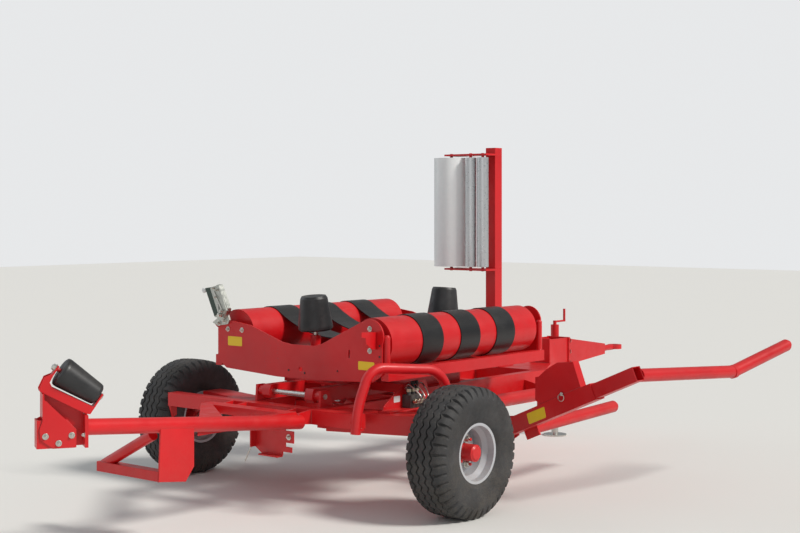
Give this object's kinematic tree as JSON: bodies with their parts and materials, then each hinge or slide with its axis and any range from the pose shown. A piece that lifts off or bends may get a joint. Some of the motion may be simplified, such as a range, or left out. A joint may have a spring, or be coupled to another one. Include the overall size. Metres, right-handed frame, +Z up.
{
  "type": "bale_wrapper",
  "caption": "Red trailed bale wrapper with a belted turntable, a side loader arm, a trailing arm with a cone, a film mast and two wheels",
  "frame": {"origin": "centre of the bore of the hitch eye, halfway through the eye's thickness, 615 mm above the ground", "axes": "+X forward along the direction of travel, +Y to the left, +Z up along the axis of the hitch eye"},
  "size_m": [5.4745, 3.111, 2.08],
  "materials": {
    "red_paint": "gloss",
    "black_rubber": "satin",
    "tyre_rubber": "matte",
    "bright_steel": "satin",
    "silver_paint": "satin",
    "grey_iron": "satin",
    "black_plastic": "satin",
    "zinc_plate": "satin",
    "chrome_rod": "polished",
    "film_plastic": "gloss",
    "aluminium_roller": "satin"
  },
  "bodies": {
    "chassis": {"main_frame": "red_paint", "rear_beam": "red_paint", "axle_arms": "red_paint", "wheel_spindles": "bright_steel", "drawbar": "red_paint", "guard_hoop": "red_paint", "loader_pivot": "red_paint", "tilt_shaft": "bright_steel", "valve_plate": "red_paint", "valve_block": "grey_iron", "film_mast": "red_paint", "film_carrier": "red_paint", "jack_sleeve": "red_paint"},
    "jack": {"jack_leg": "bright_steel"},
    "wheel_left": {"tyre_left": "tyre_rubber", "rim_left": "silver_paint", "hub_left": "red_paint"},
    "wheel_right": {"tyre_right": "tyre_rubber", "rim_right": "silver_paint", "hub_right": "red_paint"},
    "tilt_bed": {"tilt_frame": "red_paint", "turn_motor": "grey_iron"},
    "table": {"table_frame": "red_paint", "side_rails": "red_paint", "cone_posts": "red_paint", "end_plate_rear": "red_paint", "end_plate_front": "red_paint", "belts": "black_rubber", "cut_and_hold": "zinc_plate", "roller_motor": "grey_iron"},
    "left_roller": {"roller_left": "red_paint"},
    "right_roller": {"roller_right": "red_paint"},
    "rear_cone": {"cone_rear": "black_plastic"},
    "front_cone": {"cone_front": "black_plastic"},
    "loader": {"loader_arm": "red_paint", "prong_inner": "red_paint"},
    "loader_extension": {"loader_slide": "red_paint", "prong_outer": "red_paint"},
    "lift_barrel": {"loader_cylinder": "red_paint"},
    "lift_rod": {"loader_rod": "chrome_rod"},
    "tilt_barrel": {"tilt_cylinder": "red_paint"},
    "tilt_piston": {"tilt_rod": "chrome_rod"},
    "trailing_arm": {"rear_arm": "red_paint", "arm_foot": "red_paint", "arm_bracket": "red_paint", "cone_holder": "red_paint"},
    "trailing_cone": {"arm_cone": "black_plastic"},
    "film": {"film_roll": "film_plastic"},
    "stretch_a": {"stretch_roller_a": "aluminium_roller"},
    "stretch_b": {"stretch_roller_b": "aluminium_roller"}
  },
  "joints": [
    {"name": "wheel_left_spin", "type": "hinge", "parent": "chassis", "child": "wheel_left", "pos_m": [-3.3, 1.075, -0.26], "axis": [0, 1, 0], "continuous": true},
    {"name": "wheel_right_spin", "type": "hinge", "parent": "chassis", "child": "wheel_right", "pos_m": [-3.3, -1.075, -0.26], "axis": [0, 1, 0], "continuous": true},
    {"name": "jack_lift", "type": "slide", "parent": "chassis", "child": "jack", "axis": [0, 0, 1], "range_m": [0, 0.26]},
    {"name": "bed_tilt", "type": "hinge", "parent": "chassis", "child": "tilt_bed", "pos_m": [-3.5, 0, -0.015], "axis": [0, 1, 0], "range_deg": [-40, 0]},
    {"name": "table_turn", "type": "hinge", "parent": "tilt_bed", "child": "table", "pos_m": [-2.7, 0, 0.085], "axis": [0, 0, 1], "continuous": true},
    {"name": "right_roller_spin", "type": "hinge", "parent": "table", "child": "right_roller", "pos_m": [-2.7, -0.54, 0.297], "axis": [1, 0, 0], "continuous": true},
    {"name": "left_roller_spin", "type": "hinge", "parent": "table", "child": "left_roller", "pos_m": [-2.7, 0.54, 0.297], "axis": [1, 0, 0], "continuous": true},
    {"name": "rear_cone_spin", "type": "hinge", "parent": "table", "child": "rear_cone", "pos_m": [-3.298, 0, 0.335], "axis": [-0.0872, 0, 0.9962], "continuous": true},
    {"name": "front_cone_spin", "type": "hinge", "parent": "table", "child": "front_cone", "pos_m": [-2.102, 0, 0.335], "axis": [0.0872, 0, 0.9962], "continuous": true},
    {"name": "loader_lift", "type": "hinge", "parent": "chassis", "child": "loader", "pos_m": [-2.54, -0.43, -0.165], "axis": [-1, 0, 0], "range_deg": [-20, 45]},
    {"name": "loader_extend", "type": "slide", "parent": "loader", "child": "loader_extension", "axis": [0, -0.9159, 0.4013], "range_m": [-0.2, 0.15]},
    {"name": "lift_barrel_swing", "type": "hinge", "parent": "chassis", "child": "lift_barrel", "pos_m": [-2.54, -0.03, -0.335], "axis": [-1, 0, 0], "range_deg": [-2.4, 5.4]},
    {"name": "lift_rod_out", "type": "slide", "parent": "lift_barrel", "child": "lift_rod", "axis": [0, -0.9977, 0.068], "range_m": [-0.04608, 0.10367]},
    {"name": "tilt_barrel_swing", "type": "hinge", "parent": "chassis", "child": "tilt_barrel", "pos_m": [-2.64, 0, -0.265], "axis": [0, 1, 0], "range_deg": [0, 13.69]},
    {"name": "tilt_rod_out", "type": "slide", "parent": "tilt_barrel", "child": "tilt_piston", "axis": [-0.9249, 0, 0.3802], "range_m": [0, 0.15427]},
    {"name": "trailing_arm_fold", "type": "hinge", "parent": "chassis", "child": "trailing_arm", "pos_m": [-3.7, -0.205, -0.115], "axis": [0, 1, 0], "range_deg": [0, 75]},
    {"name": "trailing_cone_spin", "type": "hinge", "parent": "trailing_arm", "child": "trailing_cone", "pos_m": [-5.22302, -0.29245, 0.22162], "axis": [0.7137, -0.4121, -0.5664], "continuous": true},
    {"name": "film_spin", "type": "hinge", "parent": "chassis", "child": "film", "pos_m": [-1.51, 0.39, 0.885], "axis": [0, 0, 1], "continuous": true},
    {"name": "stretch_a_spin", "type": "hinge", "parent": "chassis", "child": "stretch_a", "pos_m": [-1.524, 0.212, 0.885], "axis": [0, 0, 1], "continuous": true},
    {"name": "stretch_b_spin", "type": "hinge", "parent": "chassis", "child": "stretch_b", "pos_m": [-1.506, 0.122, 0.885], "axis": [0, 0, 1], "continuous": true}
  ],
  "couplings": [
    {"joint": "left_roller_spin", "follows": "right_roller_spin", "ratio": 1},
    {"joint": "lift_barrel_swing", "follows": "loader_lift", "ratio": 0.12},
    {"joint": "lift_rod_out", "follows": "loader_lift", "m_per_rad": 0.132},
    {"joint": "tilt_barrel_swing", "follows": "bed_tilt", "ratio": -0.34223},
    {"joint": "tilt_rod_out", "follows": "bed_tilt", "m_per_rad": -0.22097},
    {"joint": "stretch_b_spin", "follows": "stretch_a_spin", "ratio": -1}
  ]
}
